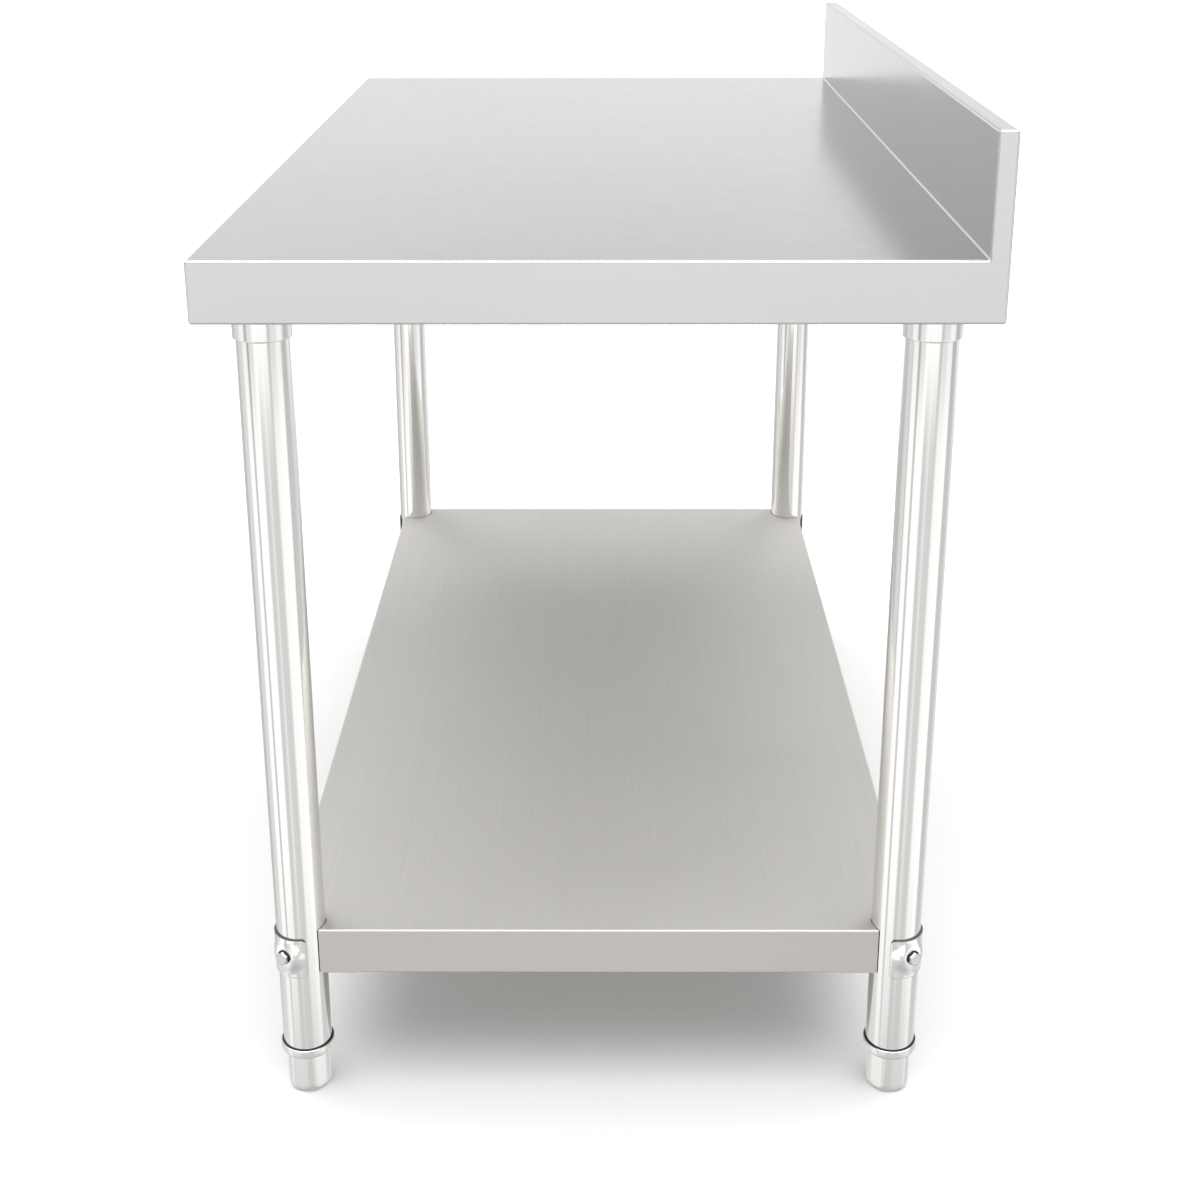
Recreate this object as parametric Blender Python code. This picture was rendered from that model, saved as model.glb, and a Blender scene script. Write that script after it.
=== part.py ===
"""Stainless steel work table: a folded worktop with a rear upstand, four tube legs and a notched undershelf.

Metres, +Z up. +X runs along the table, the front is at -Y and the upstand at +Y. The origin is on the floor,
under the middle of the table. Each leg stands in a frame of its own: its Z axis is the tube's axis, and its
+X axis points outward along the diagonal of that corner. The clamp bolt lies along +X of a second frame, turned
toward the nearer end of the table.
"""

import math

import bmesh
import bpy
from mathutils import Matrix, Vector

# Worktop
LENGTH = 1.200
WIDTH = 0.700
TOP_HEIGHT = 0.870
APRON_DEPTH = 0.056
UPSTAND_HEIGHT = 0.110
UPSTAND_DEPTH = 0.0175
SHEET = 0.0012
BEND_RADIUS = 0.0025
BEND_STEPS = 3
LIP_WIDTH = 0.015
END_LIP_SETBACK = 0.005

# Clearance between two pieces that touch
GAP = 0.0003

# Hat-shaped channels under the worktop and the undershelf
CHANNEL_DEPTH = 0.030
CHANNEL_WEB_HALF = 0.032
CHANNEL_FLANGE_HALF = 0.042
CHANNEL_SLOPE = 0.003
CHANNEL_END_GAP = 0.0012
SHELF_CHANNEL_DEPTH = 0.025
SHELF_CHANNEL_LENGTH = 1.060

# Legs and the cups that hold them
LEG_X = 0.5545
LEG_Y = 0.2957
LEG_RADIUS = 0.0243
LEG_WALL = 0.0012
CUP_RADIUS = 0.0270
CUP_BOTTOM = 0.792
CUP_FLANGE_RADIUS = 0.031
CUP_FLANGE_THICKNESS = 0.003
CUP_ROOF = 0.003
CUP_EDGE = 0.0008
CUP_SCREW_HEIGHT = 0.803
CUP_BOSS_RADIUS = 0.0068
CUP_BOSS_END = 0.0305
CUP_BOSS_OVERLAP = 0.0005
CUP_SCREW_END = 0.0325
CUP_SCREW_SOCKET = 0.004
CUP_SCREW_SOCKET_DEPTH = 0.003
CUP_SCREW_HOLE_END = 0.010

# Undershelf
SHELF_TOP = 0.189
SHELF_APRON = 0.049
SHELF_END = LEG_X + 0.016
SHELF_SIDE = LEG_Y + 0.0168
SHELF_NOTCH_RADIUS = 0.0252
SHELF_NOTCH_STEPS = 12
SHELF_BEND_OFFSET = 0.0015
SHELF_LIP = 0.012
SHELF_LIP_SETBACK = 0.035

# Saddle plates that hold the undershelf to a leg, and their bolt
SADDLE_SHEET = 0.0018
SADDLE_BOTTOM = 0.1405
SADDLE_TOP = 0.1835
SADDLE_CORNER = 0.005
OUTER_SADDLE_HALF_ANGLE = math.radians(65)
INNER_SADDLE_HALF_ANGLE = math.radians(74)
OUTER_SADDLE_GRID = (12, 6)
INNER_SADDLE_GRID = (14, 1)
BOLT_HEIGHT = 0.164
BOLT_TURN = math.radians(15)
DOME_RISE = 0.0015
DOME_SEAT_RADIUS = 0.0080
DOME_RADIUS = 0.0165
BOLT_RADIUS = 0.004
BOLT_HEAD_FLATS = 0.012
BOLT_HEAD_HEIGHT = 0.0045
BOLT_HEAD_EDGE = 0.0008
BOLT_HEAD_FACE_RADIUS = 0.0056
BOLT_HOLE_REACH = 0.040
NUT_HEIGHT = 0.0065
BOLT_THREAD_PAST_NUT = 0.003

# Adjustable feet
FOOT_RING_TOP = 0.0539
FOOT_RING_HEIGHT = 0.0107
FOOT_RING_RADIUS = 0.0267
FOOT_RING_CHAMFER = 0.0040
FOOT_SLEEVE_LENGTH = 0.036
FOOT_BODY_FLATS = 0.0415
FOOT_BODY_RADIUS = 0.0222
FOOT_BODY_BOTTOM = 0.0010
FOOT_BODY_NOSE_RADIUS = 0.0180
FOOT_BODY_NOSE_HEIGHT = 0.0090
FOOT_BODY_TOP_CHAMFER = 0.0010
FOOT_BODY_NOSE_STEPS = 4
FOOT_BODY_SEGMENTS = 30
STUD_RADIUS = 0.006
STUD_IN_BODY = 0.014
STUD_ABOVE_RING = 0.038
GLIDE_RADIUS = 0.0110
GLIDE_HEIGHT = 0.0040

# Facets on a full turn
ROUND = 32
SMALL_ROUND = 18

CORNERS = {
    "front_left": (-1, -1),
    "front_right": (1, -1),
    "back_left": (-1, 1),
    "back_right": (1, 1),
}


def clear_scene():
    for item in list(bpy.data.objects):
        bpy.data.objects.remove(item, do_unlink=True)


def steel_material(name, colour, roughness, metallic=1.0):
    made = bpy.data.materials.new(name)
    made.use_nodes = True
    shader = made.node_tree.nodes["Principled BSDF"]
    shader.inputs["Base Color"].default_value = (*colour, 1.0)
    shader.inputs["Roughness"].default_value = roughness
    shader.inputs["Metallic"].default_value = metallic
    return made


def add_object(name, shape, finish, parent=None, location=(0, 0, 0), sharp_angle=30):
    """Turns a bmesh into a named object. Faces that meet at less than sharp_angle are shaded smooth."""
    mesh = bpy.data.meshes.new(name)
    bmesh.ops.recalc_face_normals(shape, faces=shape.faces)
    shape.to_mesh(mesh)
    shape.free()
    mesh.shade_smooth()
    mesh.set_sharp_from_angle(angle=math.radians(sharp_angle))
    if finish is not None:
        mesh.materials.append(finish)
    item = bpy.data.objects.new(name, mesh)
    bpy.context.scene.collection.objects.link(item)
    item.parent = parent
    item.location = location
    return item


def add_cutter(name, shape, parent):
    """An object that only shapes others."""
    cutter = add_object(name, shape, None, parent)
    cutter.hide_render = True
    cutter.display_type = "WIRE"
    return cutter


def apply_cut(item, tool, operation="DIFFERENCE"):
    cut = item.modifiers.new(operation.lower(), "BOOLEAN")
    cut.object = tool
    cut.operation = operation
    cut.solver = "EXACT"


def thicken(item, thickness):
    """Gives a folded surface its sheet thickness, on the side away from its normals."""
    solid = item.modifiers.new("sheet", "SOLIDIFY")
    solid.thickness = thickness
    solid.offset = -1.0
    solid.use_even_offset = True
    solid.use_quality_normals = True


def rounded_path(points, radius):
    """The open path through 2-D points, with each inner corner turned into an arc of the radius."""
    path = [Vector(points[0])]
    for before, corner, after in zip(points, points[1:], points[2:]):
        corner = Vector(corner)
        inward = (Vector(before) - corner).normalized()
        outward = (Vector(after) - corner).normalized()
        half = inward.angle(outward) / 2
        reach = radius / math.tan(half)
        centre = corner + (inward + outward).normalized() * (radius / math.sin(half))
        start = corner + inward * reach - centre
        turn = (corner + outward * reach - centre).angle_signed(start)
        for step in range(BEND_STEPS + 1):
            angle = turn * step / BEND_STEPS
            path.append(centre + Matrix.Rotation(angle, 2) @ start)
    path.append(Vector(points[-1]))
    return path


def folded_strip(path, low, high, place):
    """A surface swept from low to high. place(along, point) gives the 3-D point of a path point."""
    shape = bmesh.new()
    rows = [[shape.verts.new(place(along, point)) for point in path] for along in (low, high)]
    for i in range(len(path) - 1):
        shape.faces.new((rows[0][i], rows[0][i + 1], rows[1][i + 1], rows[1][i]))
    return shape


def face_towards(item, direction):
    """Turns a surface's faces so that the area-weighted normal points in the direction."""
    total = Vector()
    for face in item.data.polygons:
        total += face.normal * face.area
    if total.dot(Vector(direction)) < 0:
        item.data.flip_normals()


def lofted(sections, segments=ROUND, closed=False):
    """A body through rings round Z. A section is (radius, z), and its radius is a number or a function of the
    angle. A radius of 0 is a point on the axis. With closed, the last ring joins the first, round a bore."""
    shape = bmesh.new()
    rings = []
    for radius, z in sections:
        if radius == 0:
            rings.append([shape.verts.new((0, 0, z))])
            continue
        ring = []
        for i in range(segments):
            angle = math.tau * i / segments
            r = radius(angle) if callable(radius) else radius
            ring.append(shape.verts.new((r * math.cos(angle), r * math.sin(angle), z)))
        rings.append(ring)
    pairs = list(zip(rings, rings[1:]))
    if closed:
        pairs.append((rings[-1], rings[0]))
    for lower, upper in pairs:
        if len(lower) == 1 and len(upper) == 1:
            continue
        for i in range(segments):
            j = (i + 1) % segments
            if len(lower) == 1:
                shape.faces.new((lower[0], upper[i], upper[j]))
            elif len(upper) == 1:
                shape.faces.new((lower[i], lower[j], upper[0]))
            else:
                shape.faces.new((lower[i], lower[j], upper[j], upper[i]))
    if not closed:
        for ring in (rings[0], rings[-1]):
            if len(ring) > 1:
                shape.faces.new(ring)
    return shape


def along_x(shape, height):
    """Lays a body that was built along Z along X, its axis at the height."""
    turn = Matrix.Translation((0, 0, height)) @ Matrix.Rotation(math.pi / 2, 4, "Y")
    bmesh.ops.transform(shape, matrix=turn, verts=shape.verts)
    return shape


def hexagon(across_flats):
    """The radius of a hexagon as a function of the angle, with a corner at angle 0."""

    def radius(angle):
        return across_flats / 2 / math.cos(angle % (math.pi / 3) - math.pi / 6)

    return radius


def smooth_step(value):
    value = min(1.0, max(0.0, value))
    return value * value * (3 - 2 * value)


def saddle_plate(middle_angle, half_angle, inner_radius, columns, rows, dome):
    """A curved plate round the leg's axis with rounded corners. With dome, it is pressed outward round the
    bolt, which lies along +X, into a flat seat."""
    shape = bmesh.new()
    half_height = (SADDLE_TOP - SADDLE_BOTTOM) / 2
    middle_height = (SADDLE_TOP + SADDLE_BOTTOM) / 2
    half_arc = half_angle * inner_radius
    seat = inner_radius + SADDLE_SHEET + DOME_RISE

    def point(arc, height, depth):
        radius = inner_radius + depth
        angle = middle_angle + arc / inner_radius
        spot = Vector((radius * math.cos(angle), radius * math.sin(angle), height))
        if dome:
            away = math.hypot(angle * inner_radius, height - BOLT_HEIGHT)
            share = smooth_step((DOME_RADIUS - away) / (DOME_RADIUS - DOME_SEAT_RADIUS))
            spot.x += (seat - SADDLE_SHEET + depth - spot.x) * share
        return spot

    straight = half_arc - SADDLE_CORNER
    corner_arcs = [straight + SADDLE_CORNER * math.sin(math.pi / 2 * i / 3) for i in (1, 2, 3)]
    arcs = [straight * (2 * i / columns - 1) for i in range(columns + 1)]
    grid = []
    for arc in [-a for a in reversed(corner_arcs)] + arcs + corner_arcs:
        past = max(0.0, abs(arc) - straight)
        trim = SADDLE_CORNER - math.sqrt(max(0.0, SADDLE_CORNER**2 - past**2))
        reach = half_height - trim
        heights = [middle_height + reach * (2 * j / rows - 1) for j in range(rows + 1)]
        grid.append([[shape.verts.new(point(arc, h, d)) for h in heights] for d in (0.0, SADDLE_SHEET)])
    for left, right in zip(grid, grid[1:]):
        for j in range(rows):
            for side in (0, 1):
                shape.faces.new((left[side][j], left[side][j + 1], right[side][j + 1], right[side][j]))
        for j in (0, rows):
            shape.faces.new((left[0][j], left[1][j], right[1][j], right[0][j]))
    for column in (grid[0], grid[-1]):
        for j in range(rows):
            shape.faces.new((column[0][j], column[0][j + 1], column[1][j + 1], column[1][j]))
    return shape


def hat_path(depth):
    """Half-open outline of a hat channel hung under a panel, from one flange tip to the other."""
    slope_top = CHANNEL_WEB_HALF + CHANNEL_SLOPE
    return rounded_path(
        [
            (-CHANNEL_FLANGE_HALF, 0.0),
            (-slope_top, 0.0),
            (-CHANNEL_WEB_HALF, SHEET - depth),
            (CHANNEL_WEB_HALF, SHEET - depth),
            (slope_top, 0.0),
            (CHANNEL_FLANGE_HALF, 0.0),
        ],
        BEND_RADIUS,
    )


def build_worktop(finish):
    """Front apron, top panel, upstand and back as one folded sheet, with a lip turned in at both lower edges."""
    front = -WIDTH / 2
    back = WIDTH / 2
    low = TOP_HEIGHT - APRON_DEPTH
    high = TOP_HEIGHT + UPSTAND_HEIGHT
    path = rounded_path(
        [
            (front + LIP_WIDTH, low),
            (front, low),
            (front, TOP_HEIGHT),
            (back - UPSTAND_DEPTH, TOP_HEIGHT),
            (back - UPSTAND_DEPTH, high),
            (back, high),
            (back, low),
            (back - LIP_WIDTH, low),
        ],
        BEND_RADIUS,
    )
    reach = LENGTH / 2 - SHEET - GAP
    shape = folded_strip(path, -reach, reach, lambda x, p: (x, p.x, p.y))
    worktop = add_object("worktop", shape, finish)
    face_towards(worktop, (0, -1, 1))
    thicken(worktop, SHEET)


def build_end_plate(side, name, finish):
    """The L-shaped plate that closes one end of the worktop and its upstand, with a lip at its lower edge."""
    shape = bmesh.new()
    x = side * LENGTH / 2
    front = -WIDTH / 2
    back = WIDTH / 2
    low = TOP_HEIGHT - APRON_DEPTH
    lip_reach = WIDTH / 2 - LIP_WIDTH - END_LIP_SETBACK
    outline = [
        (front, low),
        (-lip_reach, low),
        (lip_reach, low),
        (back, low),
        (back, TOP_HEIGHT + UPSTAND_HEIGHT),
        (back - UPSTAND_DEPTH, TOP_HEIGHT + UPSTAND_HEIGHT),
        (back - UPSTAND_DEPTH, TOP_HEIGHT),
        (front, TOP_HEIGHT),
    ]
    edge = [shape.verts.new((x, y, z)) for y, z in outline]
    shape.faces.new(edge)
    lip = [shape.verts.new((x - side * LIP_WIDTH, y, low)) for y in (lip_reach, -lip_reach)]
    shape.faces.new((edge[1], edge[2], lip[0], lip[1]))
    plate = add_object(name, shape, finish)
    face_towards(plate, (side, 0, 0))
    thicken(plate, SHEET)


def build_channels(finish):
    """Three hat channels from front to back under the worktop: one over each pair of legs, one between them."""
    top = TOP_HEIGHT - SHEET - GAP
    reach = WIDTH / 2 - SHEET - CHANNEL_END_GAP
    for name, x in (("left", -LEG_X), ("centre", 0.0), ("right", LEG_X)):
        shape = folded_strip(hat_path(CHANNEL_DEPTH), -reach, reach, lambda y, p: (p.x, y, p.y))
        channel = add_object("top_channel_" + name, shape, finish, location=(x, 0, top))
        face_towards(channel, (0, 0, 1))
        thicken(channel, SHEET)


def build_shelf_channel(finish):
    """A hat channel along the middle of the undershelf, on its underside."""
    reach = SHELF_CHANNEL_LENGTH / 2
    top = SHELF_TOP - SHEET - GAP
    shape = folded_strip(hat_path(SHELF_CHANNEL_DEPTH), -reach, reach, lambda x, p: (x, p.x, p.y))
    channel = add_object("shelf_channel", shape, finish, location=(0, 0, top))
    face_towards(channel, (0, 0, 1))
    thicken(channel, SHEET)


def notch_arc(side_x, side_y):
    """The points of one shelf corner, from the end flange to the side flange, hollow round the leg."""
    start = -math.acos((SHELF_END - LEG_X) / SHELF_NOTCH_RADIUS)
    stop = -math.pi - math.asin((SHELF_SIDE - LEG_Y) / SHELF_NOTCH_RADIUS)
    points = []
    for step in range(SHELF_NOTCH_STEPS + 1):
        angle = start + (stop - start) * step / SHELF_NOTCH_STEPS
        x = LEG_X + SHELF_NOTCH_RADIUS * math.cos(angle)
        y = LEG_Y + SHELF_NOTCH_RADIUS * math.sin(angle)
        points.append((side_x * x, side_y * y))
    return points


def build_undershelf(finish):
    """A shallow pan: a panel notched round the legs, four flanges turned down, and a lip on each flange."""
    shape = bmesh.new()
    corners = [
        notch_arc(1, 1),
        notch_arc(-1, 1)[::-1],
        notch_arc(-1, -1),
        notch_arc(1, -1)[::-1],
    ]
    rim = [[shape.verts.new((x, y, SHELF_TOP)) for x, y in corner] for corner in corners]
    shape.faces.new([vert for corner in rim for vert in corner])
    for i, corner in enumerate(rim):
        first = corner[-1]
        last = rim[(i + 1) % 4][0]
        run = (last.co - first.co).normalized()
        inward = Vector((0, 0, 1)).cross(run)
        drop = Vector((0, 0, -SHELF_APRON))
        setback = run * SHELF_LIP_SETBACK
        foot = [
            shape.verts.new(first.co + drop),
            shape.verts.new(first.co + drop + setback),
            shape.verts.new(last.co + drop - setback),
            shape.verts.new(last.co + drop),
        ]
        shape.faces.new([first, last, *reversed(foot)])
        lip = [shape.verts.new(vert.co + inward * SHELF_LIP) for vert in foot[1:3]]
        shape.faces.new((foot[1], foot[2], lip[1], lip[0]))
    bmesh.ops.recalc_face_normals(shape, faces=shape.faces)
    folds = [edge for edge in shape.edges if len(edge.link_faces) == 2]
    bmesh.ops.bevel(
        shape,
        geom=folds,
        offset=SHELF_BEND_OFFSET,
        segments=2,
        profile=0.5,
        affect="EDGES",
    )
    shelf = add_object("undershelf", shape, finish)
    face_towards(shelf, (0, 0, 1))
    thicken(shelf, SHEET)


def build_leg(name, corner, bolt_hole, finish):
    """The tube, from just above the foot's ring to just under the cup's roof."""
    top = TOP_HEIGHT - SHEET - GAP - CHANNEL_DEPTH - GAP - CUP_ROOF - GAP
    low = FOOT_RING_TOP + GAP
    inner = LEG_RADIUS - LEG_WALL
    shape = lofted(
        [(inner, low), (LEG_RADIUS, low), (LEG_RADIUS, top), (inner, top)], closed=True
    )
    leg = add_object("leg_" + name, shape, finish, corner)
    apply_cut(leg, bolt_hole)


def build_cup(name, corner, finish, screw_finish):
    """The cup under a channel that takes the top of a leg, and the set screw on its inward side."""
    roof = TOP_HEIGHT - SHEET - GAP - CHANNEL_DEPTH - GAP
    bore = LEG_RADIUS + GAP
    shape = lofted(
        [
            (0, roof - CUP_ROOF),
            (bore, roof - CUP_ROOF),
            (bore, CUP_BOTTOM),
            (CUP_RADIUS - CUP_EDGE, CUP_BOTTOM),
            (CUP_RADIUS, CUP_BOTTOM + CUP_EDGE),
            (CUP_RADIUS, roof - CUP_FLANGE_THICKNESS),
            (CUP_FLANGE_RADIUS, roof - CUP_FLANGE_THICKNESS),
            (CUP_FLANGE_RADIUS, roof),
            (0, roof),
        ]
    )
    cup = add_object("leg_cup_" + name, shape, finish, corner)
    boss_root = CUP_BOSS_OVERLAP - CUP_RADIUS
    boss = lofted([(CUP_BOSS_RADIUS, -CUP_BOSS_END), (CUP_BOSS_RADIUS, boss_root)], SMALL_ROUND)
    apply_cut(cup, add_cutter("boss_" + name, along_x(boss, CUP_SCREW_HEIGHT), corner), "UNION")
    hole_radius = BOLT_RADIUS + GAP
    hole = lofted([(hole_radius, -BOLT_HOLE_REACH), (hole_radius, -CUP_SCREW_HOLE_END)], SMALL_ROUND)
    apply_cut(cup, add_cutter("screw_hole_" + name, along_x(hole, CUP_SCREW_HEIGHT), corner))
    socket = hexagon(CUP_SCREW_SOCKET)
    floor = CUP_SCREW_SOCKET_DEPTH - CUP_SCREW_END
    screw = lofted(
        [
            (0, floor),
            (socket, floor),
            (socket, -CUP_SCREW_END),
            (BOLT_RADIUS, -CUP_SCREW_END),
            (BOLT_RADIUS, -LEG_RADIUS - GAP),
            (0, -LEG_RADIUS - GAP),
        ],
        SMALL_ROUND,
    )
    add_object("cup_screw_" + name, along_x(screw, CUP_SCREW_HEIGHT), screw_finish, corner)


def build_saddles(name, clamp, diagonal, bolt_hole, finish, bolt_finish):
    """The two saddle plates round a leg, and the bolt and nut that draw them together through it. The bolt
    lies along +X of the clamp's frame, and the plates are centred on the diagonal."""
    inner_radius = LEG_RADIUS + GAP
    outer = saddle_plate(diagonal, OUTER_SADDLE_HALF_ANGLE, inner_radius, *OUTER_SADDLE_GRID, True)
    outer_saddle = add_object("clamp_plate_" + name, outer, finish, clamp, sharp_angle=40)
    apply_cut(outer_saddle, bolt_hole)
    inward = math.pi + diagonal
    inner = saddle_plate(inward, INNER_SADDLE_HALF_ANGLE, inner_radius, *INNER_SADDLE_GRID, False)
    inner_saddle = add_object("shelf_saddle_" + name, inner, finish, clamp, sharp_angle=40)
    apply_cut(inner_saddle, bolt_hole)
    head_seat = inner_radius + SADDLE_SHEET + DOME_RISE + GAP
    nut_seat = -(inner_radius + SADDLE_SHEET + GAP)
    head = hexagon(BOLT_HEAD_FLATS)
    bolt = lofted(
        [
            (BOLT_RADIUS, nut_seat - NUT_HEIGHT - BOLT_THREAD_PAST_NUT),
            (BOLT_RADIUS, head_seat),
            (head, head_seat),
            (head, head_seat + BOLT_HEAD_HEIGHT - BOLT_HEAD_EDGE),
            (BOLT_HEAD_FACE_RADIUS, head_seat + BOLT_HEAD_HEIGHT),
        ],
        SMALL_ROUND,
    )
    add_object("clamp_bolt_" + name, along_x(bolt, BOLT_HEIGHT), bolt_finish, clamp)
    nut = lofted(
        [
            (BOLT_RADIUS + GAP, nut_seat - NUT_HEIGHT),
            (head, nut_seat - NUT_HEIGHT),
            (head, nut_seat),
            (BOLT_RADIUS + GAP, nut_seat),
        ],
        SMALL_ROUND,
        closed=True,
    )
    add_object("clamp_nut_" + name, along_x(nut, BOLT_HEIGHT), bolt_finish, clamp)


def build_foot(name, corner, steel, screw_finish, glide_finish):
    """The plug in the tube's end with its ring, and the foot that screws into it: body, stud and glide."""
    low = FOOT_RING_TOP - FOOT_RING_HEIGHT
    bore = STUD_RADIUS + GAP
    sleeve = LEG_RADIUS - LEG_WALL - GAP
    plug = lofted(
        [
            (bore, low),
            (FOOT_RING_RADIUS - FOOT_RING_CHAMFER, low),
            (FOOT_RING_RADIUS, low + FOOT_RING_CHAMFER),
            (FOOT_RING_RADIUS, FOOT_RING_TOP - CUP_EDGE),
            (FOOT_RING_RADIUS - CUP_EDGE, FOOT_RING_TOP),
            (sleeve, FOOT_RING_TOP),
            (sleeve, FOOT_RING_TOP + FOOT_SLEEVE_LENGTH),
            (bore, FOOT_RING_TOP + FOOT_SLEEVE_LENGTH),
        ],
        closed=True,
    )
    add_object("foot_plug_" + name, plug, steel, corner)

    flats = hexagon(FOOT_BODY_FLATS)

    def body_radius(limit):
        return lambda angle: min(limit, flats(angle))

    top = low - GAP
    stud_floor = top - STUD_IN_BODY
    sections = [(0, stud_floor), (bore, stud_floor), (bore, top)]
    sections.append((body_radius(FOOT_BODY_RADIUS - FOOT_BODY_TOP_CHAMFER), top))
    sections.append((body_radius(FOOT_BODY_RADIUS), top - FOOT_BODY_TOP_CHAMFER))
    for step in range(FOOT_BODY_NOSE_STEPS + 1):
        turn = math.pi / 2 * step / FOOT_BODY_NOSE_STEPS
        drop = FOOT_BODY_NOSE_HEIGHT * (1 - math.sin(turn))
        spread = FOOT_BODY_RADIUS - FOOT_BODY_NOSE_RADIUS
        limit = FOOT_BODY_NOSE_RADIUS + spread * math.cos(turn)
        sections.append((body_radius(limit), FOOT_BODY_BOTTOM + drop))
    recess = GLIDE_RADIUS + GAP
    sections += [(recess, FOOT_BODY_BOTTOM), (recess, GLIDE_HEIGHT + GAP), (0, GLIDE_HEIGHT + GAP)]
    body = lofted(sections, FOOT_BODY_SEGMENTS)
    add_object("foot_body_" + name, body, steel, corner)

    stud_top = FOOT_RING_TOP + STUD_ABOVE_RING
    stud = lofted([(STUD_RADIUS, stud_floor + GAP), (STUD_RADIUS, stud_top)], SMALL_ROUND)
    add_object("foot_stud_" + name, stud, screw_finish, corner)
    glide = lofted([(GLIDE_RADIUS, 0), (GLIDE_RADIUS, GLIDE_HEIGHT)], SMALL_ROUND)
    add_object("foot_glide_" + name, glide, glide_finish, corner)


def add_frame(name, side_x, side_y, angle):
    """An empty on the floor under a leg, turned about Z."""
    frame = bpy.data.objects.new(name, None)
    bpy.context.scene.collection.objects.link(frame)
    frame.location = (side_x * LEG_X, side_y * LEG_Y, 0)
    frame.rotation_euler = (0, 0, angle)
    return frame


def build_corner(name, side_x, side_y, finishes):
    """One leg with its cup, saddles, bolt and foot. The bolt is turned from the diagonal toward the end."""
    outward = math.atan2(side_y, side_x)
    turn = side_x * side_y * BOLT_TURN
    corner = add_frame("corner_" + name, side_x, side_y, outward)
    clamp = add_frame("clamp_" + name, side_x, side_y, outward - turn)
    hole_radius = BOLT_RADIUS + GAP
    hole = lofted([(hole_radius, -BOLT_HOLE_REACH), (hole_radius, BOLT_HOLE_REACH)], SMALL_ROUND)
    bolt_hole = add_cutter("bolt_hole_" + name, along_x(hole, BOLT_HEIGHT), clamp)
    build_leg(name, corner, bolt_hole, finishes["polished"])
    build_cup(name, corner, finishes["polished"], finishes["screw"])
    build_saddles(name, clamp, turn, bolt_hole, finishes["polished"], finishes["screw"])
    build_foot(name, corner, finishes["polished"], finishes["screw"], finishes["glide"])


def main():
    clear_scene()
    finishes = {
        "brushed": steel_material("brushed_steel", (0.60, 0.60, 0.59), 0.32),
        "shelf": steel_material("shelf_steel", (0.52, 0.51, 0.49), 0.38),
        "polished": steel_material("polished_steel", (0.72, 0.71, 0.70), 0.12),
        "screw": steel_material("screw_steel", (0.62, 0.62, 0.62), 0.30),
        "glide": steel_material("glide_nylon", (0.06, 0.06, 0.06), 0.60, 0.0),
    }
    build_worktop(finishes["brushed"])
    build_end_plate(-1, "end_plate_left", finishes["brushed"])
    build_end_plate(1, "end_plate_right", finishes["brushed"])
    build_channels(finishes["shelf"])
    build_undershelf(finishes["shelf"])
    build_shelf_channel(finishes["shelf"])
    for name, (side_x, side_y) in CORNERS.items():
        build_corner(name, side_x, side_y, finishes)


main()
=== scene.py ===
import math

import bmesh
import bpy
from mathutils import Matrix, Vector


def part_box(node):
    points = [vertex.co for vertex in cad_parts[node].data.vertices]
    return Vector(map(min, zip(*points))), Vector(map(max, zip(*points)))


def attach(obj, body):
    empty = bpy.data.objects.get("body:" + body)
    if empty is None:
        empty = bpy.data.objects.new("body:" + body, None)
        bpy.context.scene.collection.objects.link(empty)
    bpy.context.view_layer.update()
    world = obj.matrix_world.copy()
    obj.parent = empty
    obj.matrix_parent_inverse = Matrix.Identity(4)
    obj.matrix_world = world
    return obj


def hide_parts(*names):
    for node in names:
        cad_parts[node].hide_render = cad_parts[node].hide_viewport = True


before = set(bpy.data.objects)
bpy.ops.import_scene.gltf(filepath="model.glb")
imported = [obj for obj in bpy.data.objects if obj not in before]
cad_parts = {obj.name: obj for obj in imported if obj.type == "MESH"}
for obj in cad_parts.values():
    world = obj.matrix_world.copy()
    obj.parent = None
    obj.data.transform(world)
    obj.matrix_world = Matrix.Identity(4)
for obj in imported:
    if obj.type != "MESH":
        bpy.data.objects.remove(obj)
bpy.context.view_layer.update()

ROOT = "table"
CORNERS = {
    "front_left": (-1, -1),
    "front_right": (1, -1),
    "back_left": (-1, 1),
    "back_right": (1, 1),
}

# Sheet metal, in metres
SHEET = 0.0012
EDGE_BREAK = 0.00012
BEND = 0.0025
BEND_STEPS = 8
SEAM = 0.0007
LIP = 0.015
END_LIP_REACH = 0.330
CAP_BEND = BEND + 0.0001
UPSTAND_DEPTH = 0.0175

# Shelf
SHELF_BEND = 0.0020
SHELF_EDGE_BREAK = 0.00025
SHELF_LIP = 0.012
SHELF_LIP_SETBACK = 0.035
NOTCH_RADIUS = 0.0252
NOTCH_STEPS = 32

# Channels
CHANNEL_WEB_HALF = 0.032
CHANNEL_FLANGE_HALF = 0.042
CHANNEL_SLOPE = 0.003

# Legs and their fittings
LEG_WALL = 0.0012
TURN = 128
GAP = 0.0003
SADDLE_SHEET = 0.0018
SADDLE_CORNER = 0.005
SADDLE_EDGE = 0.0003
DOME_RISE = 0.0015
DOME_SEAT_RADIUS = 0.0080
DOME_RADIUS = 0.0205
BOLT_HEIGHT = 0.164
BOLT_TURN = math.radians(15)
BOLT_RADIUS = 0.004
BOLT_HEAD_FLATS = 0.012
BOLT_HEAD_HEIGHT = 0.0045
NUT_HEIGHT = 0.0065
THREAD_PITCH = 0.00175
THREAD_DEPTH = 0.00095
BOLT_PITCH = 0.00125
BOLT_THREAD_DEPTH = 0.0006
SET_SCREW_HEIGHT = 0.803
FOOT_RING_TOP = 0.0539
STUD_BORE = 0.0063
FOOT_FLATS = 0.0415

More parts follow.
